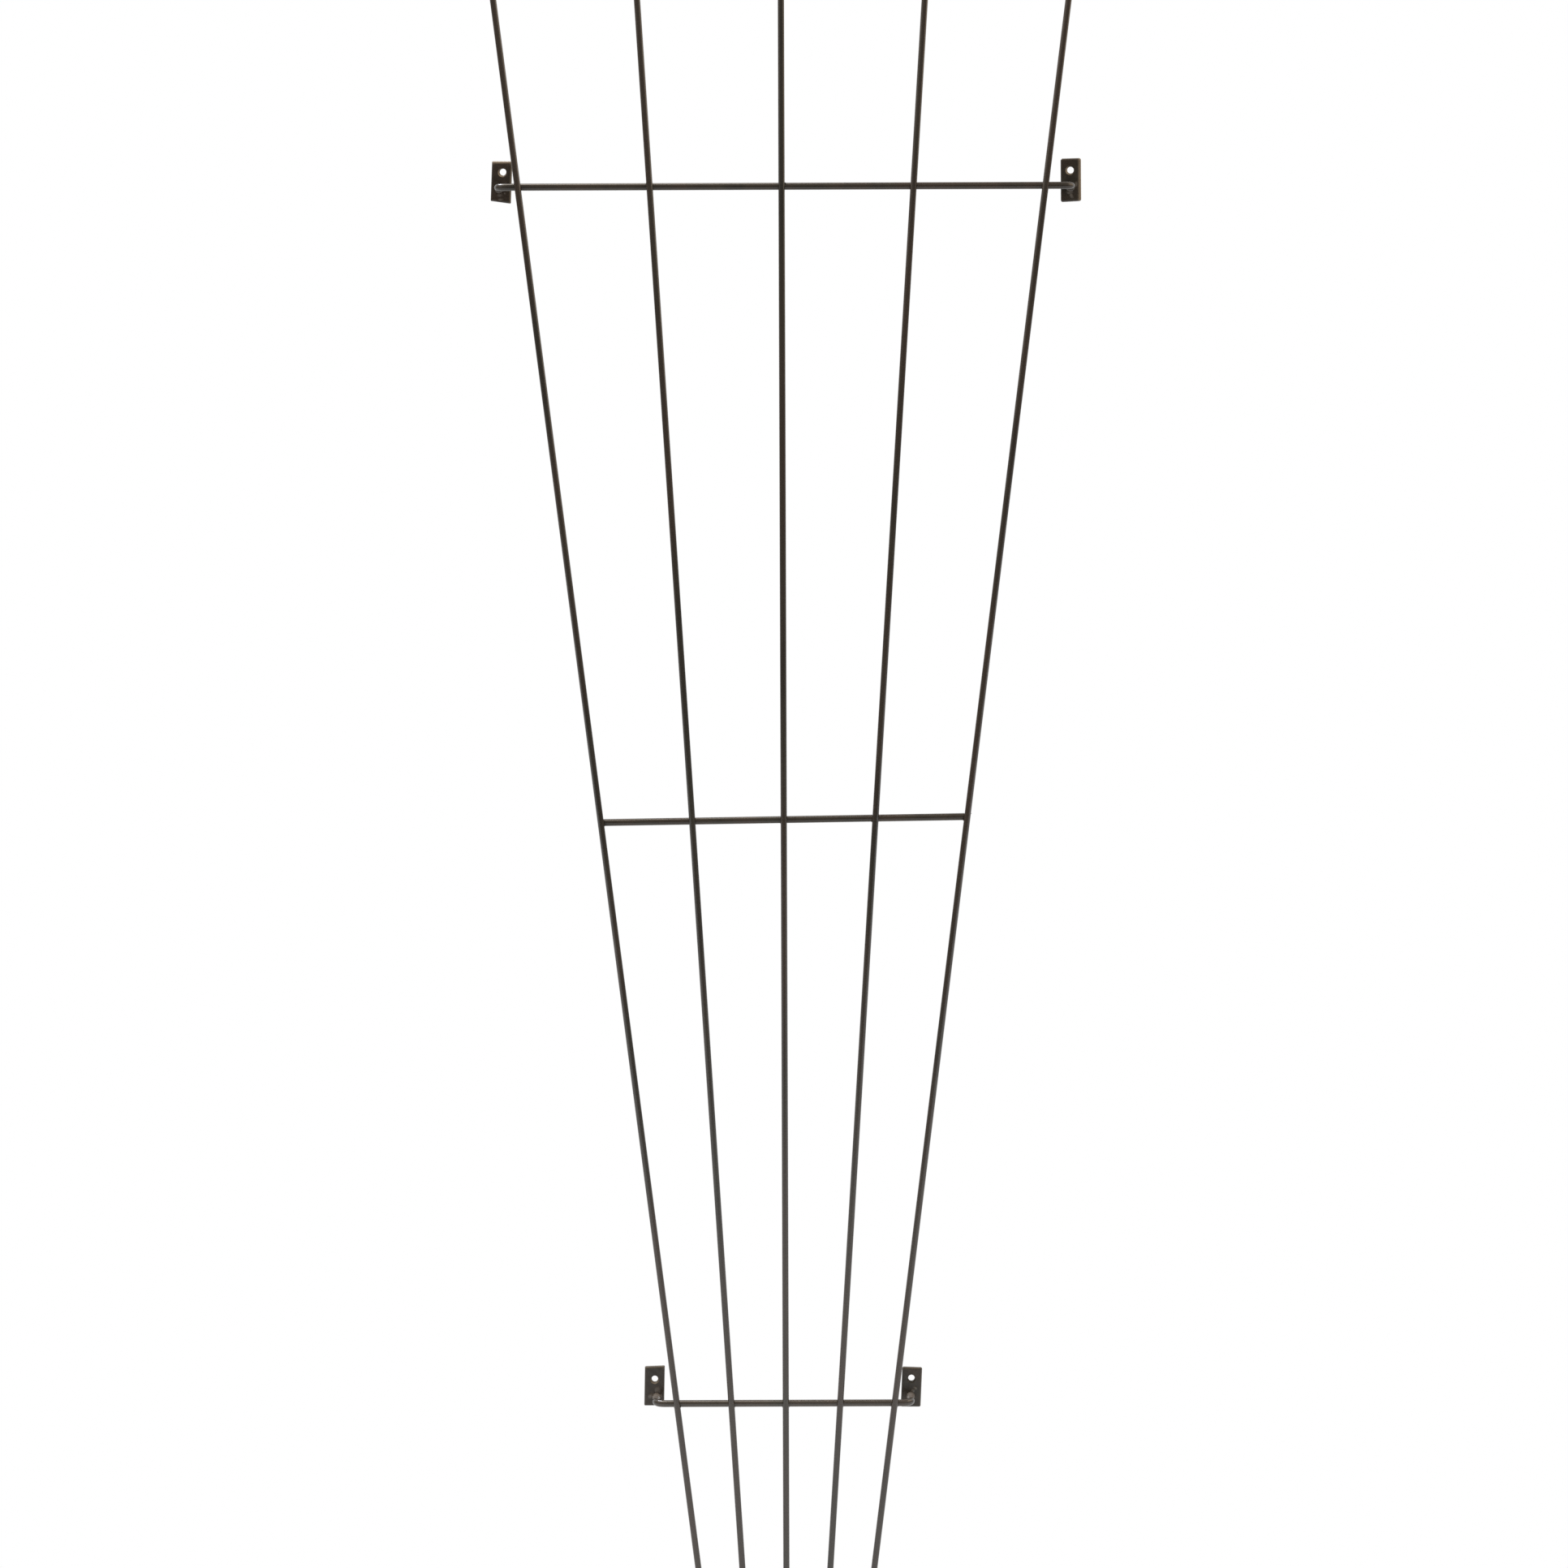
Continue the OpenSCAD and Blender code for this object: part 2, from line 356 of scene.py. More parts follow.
def rounded_outline(corners, inset, corner_r):
    """A four-sided outline, counter-clockwise, with its sides moved in by inset and its corners rounded.

    Each corner's arc has radius corner_r - inset, at least a hair, about the point where both sides are
    moved in by inset plus that radius. Straight points fill the sides between the arcs.
    """
    radius = max(corner_r - inset, SHARPEST_CORNER)
    side = np.roll(corners, -1, axis=0) - corners
    side = side / np.linalg.norm(side, axis=1)[:, None]
    inward = np.column_stack([-side[:, 1], side[:, 0]])
    before = np.roll(inward, 1, axis=0)
    lean = (before + inward) / (1 + (before * inward).sum(axis=1))[:, None]
    centres = corners + (inset + radius) * lean
    start = np.arctan2(-before[:, 1], -before[:, 0])
    sweep = (np.arctan2(-inward[:, 1], -inward[:, 0]) - start) % (2 * math.pi)
    a = start[:, None] + sweep[:, None] * np.linspace(0, 1, ARC_POINTS)
    arcs = centres[:, None, :] + radius * np.stack([np.cos(a), np.sin(a)], axis=-1)
    share = np.linspace(0, 1, SIDE_POINTS + 2)[1:-1][None, :, None]
    sides = arcs[:, -1:, :] * (1 - share) + np.roll(arcs, -1, axis=0)[:, :1, :] * share
    return np.concatenate([arcs, sides], axis=1).reshape(-1, 2)


def plate_corners(node):
    """The four corners of a plate in x and z, counter-clockwise seen from the front, from its lower left."""
    points = cad_points(node)[:, [0, 2]]
    ways = np.array([[-1, -1], [1, -1], [1, 1], [-1, 1]])
    return points[(points @ ways.T).argmax(axis=0)]


print("points on a plate's outline:", 4 * (ARC_POINTS + SIDE_POINTS))

# %% [markdown]
# The screw holes come from the record's two screw mounts. Their countersinks were drilled by hand, so most of
# them lie off to one side and show as a crescent. A tan tone on that crescent, and along the plates' right
# and top edges, is a painted highlight where the light from the upper right falls.

# %% Screw holes and thin film
COUNTERSINK_W = 1.8 * MM
# The side that each countersink leans to in degrees, how far it leans, and its painted highlight on that side
COUNTERSINK = {
    "upper_left_plate": (222, 0.9, 1.0),
    "upper_right_plate": (205, 0.9, 0.8),
    "lower_left_plate": (265, 0.8, 0.5),
    "lower_right_plate": (250, 0.7, 0.0),
}
# Painted highlight on the right and top edges, lit from the upper right: strength 0 to 1, how far in it shows
PAINTED_EDGE_HIGHLIGHT = {
    "upper_left_plate": ((0.24, 2.2 * MM), (0.44, 3.2 * MM)),
    "upper_right_plate": ((0.44, 3.8 * MM), (0.07, 2.0 * MM)),
    "lower_left_plate": ((0.03, 2.0 * MM), (0.13, 2.6 * MM)),
    "lower_right_plate": ((0.07, 2.0 * MM), (0.07, 2.0 * MM)),
}
# The share of a band's width, from the edge in, over which it keeps its full weight
FULL_BAND = 0.4


def screw_holes():
    """Centre and radius of each plate's screw hole, from the two bolt patterns in the record."""
    found = {}
    for mount in record["mounts"]:
        if mount["kind"] == "bolt_pattern":
            level = mount["name"].split("_")[0]
            half = mount["dims"]["spacing_x_mm"] * MM / 2
            x, _, z = mount["pos_m"]
            hole_r = mount["dims"]["hole_r_mm"] * MM
            found[f"{level}_left_plate"] = (np.array([x - half, z]), hole_r)
            found[f"{level}_right_plate"] = (np.array([x + half, z]), hole_r)
    return found


def painted_edge_highlight(flat, corners, bands):
    """The painted highlight at points of a plate: the larger of the bands along its lit right and top edges.

    With t the distance in from the edge over the band's width, a band is weight times 1 - s s (3 - 2 s),
    where s goes from 0 at t = full band to 1 at t = 1.
    """
    thin_and_highlight = np.zeros(len(flat))
    for (weight, width), start, end in zip(bands, corners[1:3], corners[2:4]):
        side = (end - start) / np.linalg.norm(end - start)
        t = (flat - start) @ np.array([-side[1], side[0]]) / width
        s = np.clip((t - FULL_BAND) / (1 - FULL_BAND), 0, 1)
        thin_and_highlight = np.maximum(thin_and_highlight, weight * (1 - s * s * (3 - 2 * s)))
    return thin_and_highlight


holes = screw_holes()
for name, (hole, hole_r) in holes.items():
    print(name, "hole at", hole.round(5), "radius", round(hole_r, 5))

# %% [markdown]
# The front of a plate isn't quite flat either: rolled bar is slightly wavy, and the coat flows a little. A
# few low waves on the front face give the broken, mottled reflection of the real plates, and they die out
# towards the edge and the hole.

# %% Waves on the plates' faces
# How high the waves of each plate's face are, and where they start
WAVES = {
    "upper_left_plate": (0.14 * MM, 0.4),
    "upper_right_plate": (0.05 * MM, 1.9),
    "lower_left_plate": (0.12 * MM, 3.1),
    "lower_right_plate": (0.05 * MM, 4.4),
}
# Radians per millimetre to the right and upwards, and how high the short wave is beside the long one
LONG_WAVE = np.array([0.55, 0.3])
LONG_WAVE_BEAT = np.array([0.0, 0.37])
SHORT_WAVE = np.array([0.9, -0.21])
SHORT_WAVE_SHARE = 0.6


def face_waves(node, hole, flat):
    """How deep the waves are at points of a plate's face, with p the place from the hole plus the start.

    depth = height (sin(long . p) sin(beat . p) + share sin(short . p)), with p in millimetres
    """
    height, start = WAVES[node]
    p = (flat - hole) / MM + start
    long_wave = np.sin(p @ LONG_WAVE) * np.sin(p @ LONG_WAVE_BEAT)
    return height * (long_wave + SHORT_WAVE_SHARE * np.sin(p @ SHORT_WAVE))


print("highest wave:", max(height for height, _ in WAVES.values()) / MM, "mm")

# %% [markdown]
# Now the plate's grid can be laid row by row, each row one turn round the outline or the hole. The front edge
# has a large radius, because the coat is thick there, and the back edge a small one.

# %% Plates
FRONT_EDGE_R = 1.9 * MM
BACK_EDGE_R = 0.4 * MM
RIM_SOFT = 0.25 * MM
CORNER_R = {
    "upper_left_plate": 1.0 * MM,
    "upper_right_plate": 2.0 * MM,
    "lower_left_plate": 1.1 * MM,
    "lower_right_plate": 1.6 * MM,
}
FACE_ROWS, FRONT_EDGE_ROWS, BACK_EDGE_ROWS, BACK_ROWS, HOLE_ROWS = 25, 9, 4, 8, 5


def plate_grid(node, hole, hole_r):
    """A plate as one closed grid, and the painted highlight at each point.

    Rows: front face from the hole outwards, front edge as a quarter round, side, back edge, back face
    inwards, hole wall and countersink. The last row repeats the first. On the face, share s of the way out,
    the waves are weighted by 4 s (1 - s). With b the angle from the side that it leans to, the countersink's
    width is the full width times 1 - lean (1 - cos b) / 2.
    """
    corners = plate_corners(node)
    corner_r = CORNER_R[node]
    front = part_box(node)[0][1]
    outline = rounded_outline(corners, 0, corner_r)
    border = rounded_outline(corners, FRONT_EDGE_R, corner_r)
    out = (outline - hole) / np.linalg.norm(outline - hole, axis=1)[:, None]
    side, lean, sink_highlight = COUNTERSINK[node]
    far_side = (1 - out @ [math.cos(math.radians(side)), math.sin(math.radians(side))]) / 2
    sink = (COUNTERSINK_W * (1 - lean * far_side))[:, None]
    # A painted highlight on the countersink's wall on the side it leans to, which faces the light from the
    # upper right
    crescent_highlight = sink_highlight * (1 - far_side) ** 2
    rows, thin_and_highlight = [], []

    def row(flat, y, film_and_highlight=None):
        rows.append(np.column_stack([flat[:, 0], np.broadcast_to(y, len(flat)), flat[:, 1]]))
        film_and_highlight = painted_edge_highlight(flat, corners, PAINTED_EDGE_HIGHLIGHT[node]) if film_and_highlight is None else film_and_highlight
        thin_and_highlight.append(np.broadcast_to(film_and_highlight, len(flat)))

    inner = hole + (hole_r + sink + RIM_SOFT) * out
    for share in np.linspace(0, 1, FACE_ROWS):
        flat = inner * (1 - share) + border * share
        row(flat, front + face_waves(node, hole, flat) * 4 * share * (1 - share))
    for turn in np.linspace(0, math.pi / 2, FRONT_EDGE_ROWS)[1:]:
        flat = rounded_outline(corners, FRONT_EDGE_R * (1 - math.sin(turn)), corner_r)
        row(flat, front + FRONT_EDGE_R * (1 - math.cos(turn)))
    for turn in np.linspace(0, math.pi / 2, BACK_EDGE_ROWS):
        flat = rounded_outline(corners, BACK_EDGE_R * (1 - math.cos(turn)), corner_r)
        row(flat, -BACK_EDGE_R * (1 - math.sin(turn)))
    back = rounded_outline(corners, BACK_EDGE_R, corner_r)
    for share in np.linspace(0, 1, BACK_ROWS)[1:]:
        row(back * (1 - share) + (hole + (hole_r + RIM_SOFT) * out) * share, 0.0, 0.0)
    for share in np.linspace(0, 1, HOLE_ROWS):
        depth = (front + sink[:, 0] + RIM_SOFT) * share - RIM_SOFT * (1 - share)
        row(hole + hole_r * out, depth, 0.0)
    for share in np.linspace(0, 1, HOLE_ROWS):
        row(hole + (hole_r + sink * share) * out, front + sink[:, 0] * (1 - share), crescent_highlight)
    row(inner, front, 0.0)
    return np.stack(rows), np.stack(thin_and_highlight)


for name, (hole, hole_r) in holes.items():
    grid, thin_and_highlight = plate_grid(name, hole, hole_r)
    coated_piece(f"{name}_flat", name, "coated_plate", [grid], [thin_and_highlight])
    print(name, "corners", plate_corners(name).round(4).tolist())

# %% [markdown]
# ## The welds at the crossings
# Where an upright crosses a bar, the welder ran a short bead above the bar and one below it, behind the
# upright, so only the ends of the bead peep out and fill the corners. A bead is a long drop of metal with
# ripples where the pool froze step by step. Noise on a ball would look like clay, so the ripples are a cosine
# along the bead. No two beads are alike, so each has its size and place changed a little at random.

# %% Weld beads at the crossings
# Half length, half width and height, how far the ends bend back round the rod, how far the middle is behind
# the upright's back, and how deep it sits in the bar
BEAD_SIZE = np.array([3.4, 1.8, 0.75]) * MM
BEAD_WRAP = 0.8 * MM
BEAD_BEHIND = 1.0 * MM
BEAD_SUNK = 0.2 * MM
SIZE_SPREAD = 0.12
PLACE_SPREAD = 0.4 * MM
RIPPLE = 0.05
RIPPLES = 5
RIPPLE_BOW = 0.9
BEAD_RINGS, BEAD_SIDES = 31, 24
dice = np.random.default_rng(7)


def bead(centre, along, across, out, size, wrap=0.0, blunt=1.0):
    """A rippled drop of weld metal, with u from -1 to 1 along it and v round it.

    point = centre + half length w along - wrap u^2 across + m p (half width cos v across + height sin v out)
    p = sqrt(1 - u^2), m = 1 + ripple cos(pi ripples u + bow cos v), w = u, or blunt times u where u < 0
    """
    half_length, half_width, height = size
    u = np.sin(np.linspace(-math.pi / 2, math.pi / 2, BEAD_RINGS))[:, None, None]
    v = np.linspace(0, 2 * math.pi, BEAD_SIDES, endpoint=False)[None, :, None]
    p = np.sqrt(np.clip(1 - u**2, 0, 1))
    m = 1 + RIPPLE * np.cos(math.pi * RIPPLES * u + RIPPLE_BOW * np.cos(v))
    line = centre + half_length * np.where(u < 0, blunt, 1.0) * u * along - wrap * u**2 * across
    return line + m * p * (half_width * np.cos(v) * across + height * np.sin(v) * out)


def crossing(upright, bar):
    """The point on the back of an upright where it crosses a bar's axis, seen from the front."""
    low, high, radius = upright_axes[upright]
    z0, slope = bar_lines[bar]
    rate = (high[0] - low[0]) / (high[2] - low[2])
    x = (low[0] + rate * (z0 - low[2])) / (1 - rate * slope)
    return np.array([x, low[1] + radius, z0 + slope * x])


for bar in ("upper_bar", "middle_bar", "lower_bar"):
    for i, upright in enumerate(UPRIGHTS, start=1):
        low, high, _ = upright_axes[upright]
        climb = (high - low) / np.linalg.norm(high - low)
        run = np.array([1.0, 0.0, bar_lines[bar][1]])
        behind = crossing(upright, bar) + BEAD_BEHIND * TO_WALL
        grids = []
        for out in (climb, -climb):
            size = BEAD_SIZE * dice.uniform(1 - SIZE_SPREAD, 1 + SIZE_SPREAD, 3)
            shift = dice.uniform(-PLACE_SPREAD, PLACE_SPREAD)
            centre = behind + (bar_r - BEAD_SUNK) * out + shift * run
            grids.append(bead(centre, run, TO_WALL, out, size, BEAD_WRAP))
        name = f"{bar}_weld_{i}"
        coated_piece(f"{name}_beads", name, "coated_weld", grids)
print("crossing welds:", len(pieces_in["coated_weld"]), "pairs of beads")

# %% [markdown]
# ## The welds on the plates
# Each bar end stands on its plate in a collar of weld, thicker on the side where the metal gathered. The
# collar is a ring whose section is a circle on the corner line between bar and plate, so half of it sinks
# into the metal and the rest makes the fillet. On the lower plates a second run of weld lies along the top
# of the bar's end. It is a bead like those at the crossings, only much longer, and its other end stays inside
# the plate.

# %% Weld collars and top runs
COLLAR_THIN = 0.7 * MM
# The side on which each collar is thickest, in degrees, and its thickness there
COLLAR_THICK = {
    "upper_left_plate": (260, 1.3 * MM),
    "upper_right_plate": (287, 1.5 * MM),
    "lower_left_plate": (80, 1.5 * MM),
    "lower_right_plate": (100, 1.5 * MM),
}
COLLAR_LUMP = 0.08
COLLAR_LUMPS = 3
COLLAR_RINGS, COLLAR_SIDES = 97, 20
# The run along the top of a lower bar end: half length, half width and height, its middle above the axis, how
# strong its painted highlight is at the plate, by how much of that the highlight fades towards the bend, and
# how long its other half is as a share, so that it ends inside the plate
TOP_RUN = np.array([24.0, 3.9, 3.3]) * MM
TOP_RUN_RISE = 1.5 * MM
TOP_RUN_HIGHLIGHT = 0.9
TOP_RUN_FADE = 0.6
TOP_RUN_BLUNT = 0.1
ACROSS = np.array([1.0, 0.0, 0.0])


def collar(plate, phase):
    """A fillet ring round a bar's end, a round section of varying size carried round the bar.

    leg(a) = COLLAR_THIN + (thick - COLLAR_THIN) (half of 1 + cos(a - side))^2, times 1 + lump cos(lumps a +
    phase) point = axis + (radius + leg cos v) (cos a, sin a), and front - leg sin v in depth
    """
    x, z, front, radius = bar_end(plate)
    side, thick = COLLAR_THICK[plate]
    a = np.linspace(0, 2 * math.pi, COLLAR_RINGS)[:, None]
    v = np.linspace(0, 2 * math.pi, COLLAR_SIDES, endpoint=False)[None, :]
    gathered = (0.5 + 0.5 * np.cos(a - math.radians(side))) ** 2
    leg = COLLAR_THIN + (thick - COLLAR_THIN) * gathered
    leg = leg * (1 + COLLAR_LUMP * np.cos(COLLAR_LUMPS * a + phase))
    reach = radius + leg * np.cos(v)
    return np.stack([x + reach * np.cos(a), front - leg * np.sin(v), z + reach * np.sin(a)], axis=-1)


def top_run(plate):
    """The bead along the top of a bar's end, and the painted highlight on it.

    The highlight is its strength at the plate times 1 - TOP_RUN_FADE t, with t from 0 at the plate to 1 at
    the bead's tip.
    """
    x, z, front, _ = bar_end(plate)
    foot = np.array([x, front, z + TOP_RUN_RISE])
    grid = bead(foot, -TO_WALL, ACROSS, UP, TOP_RUN, blunt=TOP_RUN_BLUNT)
    t = np.clip((front - grid[:, :, 1]) / TOP_RUN[0], 0, 1)
    return grid, TOP_RUN_HIGHLIGHT * (1 - TOP_RUN_FADE * t)


print("thickest collar:", max(thick for _, thick in COLLAR_THICK.values()) / MM, "mm")

# %% [markdown]
# Stray runs of metal lie beside the collars, melted flat under the coat. An egg shape stuck on the plate
# would show a hard edge all round, so a run is a low mound that flattens out before it meets the plate.

# %% Stray runs
# In millimetres and degrees: middle to the right of and above the bar's end, half length, half width, height,
# turn and bow
STRAY_RUNS = {
    "upper_left_plate": [
        (0.8, -6.4, 4.4, 2.4, 0.32, 15, 0),
        (5.2, -4.8, 2.6, 2.2, 0.25, -30, 0),
        (1.2, -11.0, 4.0, 2.0, 0.28, 8, 0),
    ],
    "upper_right_plate": [
        (-0.4, -5.4, 4.6, 3.0, 0.5, 8, 0),
        (0.8, -8.4, 5.6, 2.4, 0.45, -66, 1.2),
        (5.8, 1.8, 4.2, 2.8, 0.3, 70, 0),
    ],
    "lower_left_plate": [
        (4.4, 1.6, 2.6, 1.3, 0.8, 85, 0),
        (-5.6, 2.0, 4.6, 3.4, 0.5, 25, 0),
        (1.0, 7.6, 5.6, 4.2, 0.5, 75, 0),
    ],
    "lower_right_plate": [
        (4.4, 8.8, 3.4, 2.2, 0.4, -30, 0),
        (2.0, 6.0, 3.4, 2.8, 0.45, 50, 0),
    ],
}
# How deep a mound's rim lies in the plate, how deep its closing rows lie, and the painted highlight on its
# top
RUN_SUNK = 0.07 * MM
RUN_FOOT = 0.5 * MM
MOUND_HIGHLIGHT = 0.6
MOUND_RINGS, MOUND_SIDES = 15, 32


def stray_run(plate, to_right, upward, half_length, half_width, height, turn, bow):
    """A low mound on a plate's front, and the painted highlight on it.

    With s from 0 at its middle to 1 at its rim: u = s cos a, v = s sin a, rise = height (1 - s^2)^2
    point = middle + half length u along + (half width v + bow u^2) across + rise out
    The painted highlight is its full strength times the rise over the plate's face, as a share of the height,
    so the top is lightest. Two more rows close the mound under the face.
    """
    x, z, front, _ = bar_end(plate)
    turn = math.radians(turn)
    along = np.array([math.cos(turn), 0, math.sin(turn)])
    across = np.array([-math.sin(turn), 0, math.cos(turn)])
    middle = np.array([x + to_right * MM, front + RUN_SUNK, z + upward * MM])
    s = np.concatenate([np.linspace(0, 1, MOUND_RINGS), [1, 0]])[:, None, None]
    a = np.linspace(0, 2 * math.pi, MOUND_SIDES, endpoint=False)[None, :, None]
    u, v = s * np.cos(a), s * np.sin(a)
    rise = height * MM * (1 - s**2) ** 2
    film_and_highlight = MOUND_HIGHLIGHT * np.clip(rise - RUN_SUNK, 0, None) / (height * MM)
    rise[-2:] = -RUN_FOOT
    flat = MM * (half_length * u * along + (half_width * v + bow * u**2) * across)
    return middle + flat - rise * TO_WALL, np.broadcast_to(film_and_highlight[:, :, 0], flat.shape[:2])


print("stray runs:", {plate: len(runs) for plate, runs in STRAY_RUNS.items()})

# %% [markdown]
# The collar, the top run and the stray runs of a plate make up one piece, because on the frame they are one
# weld.

# %% Welds on the plates
COLLAR_FILM = 0.3

for phase, (plate, runs) in enumerate(STRAY_RUNS.items()):
    ring = collar(plate, phase)
    # The collar's lighter tone is the weld's own thinner coat; on the top run and the stray runs it is a
    # painted highlight
    parts = [(ring, np.full(ring.shape[:2], COLLAR_FILM))]
    if plate.startswith("lower"):
        parts.append(top_run(plate))
    parts.extend(stray_run(plate, *run) for run in runs)
    grids, thin_and_highlight = zip(*parts)
    coated_piece(f"{plate}_weld_collar", f"{plate}_weld", "coated_weld", grids, thin_and_highlight)
    print(plate, "weld of", len(parts), "parts")

# %% [markdown]
# ## The powder coat
# All the steel wears one dark bronze powder coat: a pigmented plastic film, melted on, so it is a dielectric
# with a satin gloss. Up close it has orange peel, a fine dimpled skin, and its tone drifts a little between
# brown and olive where it is thicker or thinner. Colours are written as the screen shows them, in sRGB hex,
# and one function turns them to the linear values that the shader wants.

# %% Colour and node helpers
# A Mix node set to colours takes its factor and two colours at these inputs, and gives the mix at this output
MIX_BY, MIX_FROM, MIX_TO, MIXED = 0, 6, 7, 2


def linear(hex_colour):
    """Linear RGBA from sRGB hex: c / 12.92 up to 0.04045, else ((c + 0.055) / 1.055) to the power 2.4."""
    c = np.array([int(hex_colour[i : i + 2], 16) for i in (1, 3, 5)]) / 255
    rgb = np.where(c <= 0.04045, c / 12.92, ((c + 0.055) / 1.055) ** 2.4)
    return (*rgb.tolist(), 1.0)


def add(tree, kind, inputs=None, **settings):
    """Adds one node: settings are its properties, and inputs set its sockets or link them to others."""
    node = tree.nodes.new(kind)
    for name, value in settings.items():
        setattr(node, name, value)
    for name, value in (inputs or {}).items():
        if isinstance(value, bpy.types.NodeSocket):
            tree.links.new(value, node.inputs[name])
        else:
            node.inputs[name].default_value = value
    return node


print("middle grey on the screen is", round(linear("#808080")[0], 3), "in linear light")

# %% [markdown]
# The coat's tone is mixed from three near colours by two soft noises. Where a point's value says so, a
# lighter
# tone is mixed in: a painted highlight, and on the welds partly their own thinner coat. Orange peel on the
# real coat is about 1 mm across, finer than a pixel here, so it is drawn about twice as coarse to show at
# all, and on the rods it is much weaker. The uprights keep faint long draw marks under the film, so the noise
# of their finish is stretched upwards.

# %% Powder coat
COAT_DARK = "#2a2722"
COAT_BROWN = "#3d342d"
COAT_OLIVE = "#36342d"
BROWN_DRIFT = 30 * MM
ORANGE_PEEL = 2.0 * MM
PEEL_HEIGHT = 0.10 * MM
# How many finer layers each noise has, and the middle span of a noise that the tones are spread over
MOTTLE_DETAIL, BROWN_DETAIL, PEEL_DETAIL = 4.0, 2.0, 2.0
NOISE_SPAN = {"From Min": 0.35, "From Max": 0.65}
# How far the roughness strays either way, and how much of the lighter tone shows where it shows least
GLOSS_SPREAD = 0.05
LEAST_SHOWN = 0.7


def bronze_powder_coat(name, roughness, ior, peel, drift, thin_and_highlight_tone=None, stretch=1.0):
    """A satin bronze powder coat: tone drift, uneven gloss and orange peel, in object coordinates."""
    material = bpy.data.materials.new(name)
    material.use_nodes = True
    tree = material.node_tree
    tree.nodes.clear()
    place = add(tree, "ShaderNodeTexCoord").outputs["Object"]
    along_rod = {"Vector": place, "Scale": (1, 1, 1 / stretch)}
    drawn = add(tree, "ShaderNodeMapping", along_rod).outputs["Vector"]
    fine = {"Vector": drawn, "Scale": 1 / drift, "Detail": MOTTLE_DETAIL}
    mottle = add(tree, "ShaderNodeTexNoise", fine).outputs["Fac"]
    broad = {"Vector": drawn, "Scale": 1 / BROWN_DRIFT, "Detail": BROWN_DETAIL}
    brown = add(tree, "ShaderNodeTexNoise", broad).outputs["Fac"]
    thick = add(tree, "ShaderNodeMapRange", {"Value": mottle, **NOISE_SPAN}).outputs[0]
    patch = add(tree, "ShaderNodeMapRange", {"Value": brown, **NOISE_SPAN}).outputs[0]
    tones = {MIX_BY: thick, MIX_FROM: linear(COAT_DARK), MIX_TO: linear(COAT_OLIVE)}
    tone = add(tree, "ShaderNodeMix", tones, data_type="RGBA").outputs[MIXED]
    tones = {MIX_BY: patch, MIX_FROM: tone, MIX_TO: linear(COAT_BROWN)}
    colour = add(tree, "ShaderNodeMix", tones, data_type="RGBA").outputs[MIXED]
    # A lighter tone mixed in by each point's value, patchy with the mottle: a painted highlight, and on the
    # welds partly their own thinner coat
    if thin_and_highlight_tone:
        film_and_highlight = add(tree, "ShaderNodeAttribute", attribute_name="thin_film_and_highlight").outputs["Fac"]
        patchy_span = {"Value": mottle, **NOISE_SPAN, "To Min": LEAST_SHOWN}
        patchy = add(tree, "ShaderNodeMapRange", patchy_span).outputs[0]
        thin_and_highlight = add(tree, "ShaderNodeMath", {0: film_and_highlight, 1: patchy}, operation="MULTIPLY").outputs[0]
        tones = {MIX_BY: thin_and_highlight, MIX_FROM: colour, MIX_TO: linear(thin_and_highlight_tone)}
        colour = add(tree, "ShaderNodeMix", tones, data_type="RGBA").outputs[MIXED]
    satin = {"Value": mottle, "To Min": roughness - GLOSS_SPREAD, "To Max": roughness + GLOSS_SPREAD}
    gloss = add(tree, "ShaderNodeMapRange", satin).outputs[0]
    dimples = {"Vector": place, "Scale": 1 / ORANGE_PEEL, "Detail": PEEL_DETAIL}
    skin = add(tree, "ShaderNodeTexNoise", dimples).outputs["Fac"]
    relief = {"Height": skin, "Strength": peel, "Distance": PEEL_HEIGHT}
    bump = add(tree, "ShaderNodeBump", relief).outputs["Normal"]
    surface = {"Base Color": colour, "Roughness": gloss, "Normal": bump, "IOR": ior}
    coat = add(tree, "ShaderNodeBsdfPrincipled", surface).outputs["BSDF"]
    add(tree, "ShaderNodeOutputMaterial", {"Surface": coat})
    return material


print("orange peel is drawn", ORANGE_PEEL / MM, "mm across")

# %% [markdown]
# Four finishes come from that one coat. The uprights and the lower bar are drawn rod, the smoothest. The
# upper and middle bar are rolled rod, a little duller. On the sheared plates and on the welds the coat lies
# rougher. The plates carry a tan painted highlight on their lit edges and crescents, and the welds a grey
# that is partly their own thinner coat and partly a painted highlight. Polyester has an index of about 1.57.
# On drawn rod the film mirrors a little more than that, as if its index were 1.7, and on rolled rod and the
# plates a little less, as if it were 1.5.

# %% Finishes of the pieces
# The tan is a painted highlight on the plates' lit edges and crescents; the grey is the welds' own thinner
# coat and a painted highlight on their runs
HIGHLIGHT_TAN = "#cbbba6"
WELD_GREY_AND_HIGHLIGHT = "#8c8783"
ROLLED = ("upper_bar_rod", "middle_bar_rod")
# Strength of the orange peel and width of the mottles, on rods and on the rougher plates and welds
ON_ROD = {"peel": 0.2, "drift": 14 * MM}
ON_ROUGH = {"peel": 0.7, "drift": 9 * MM}

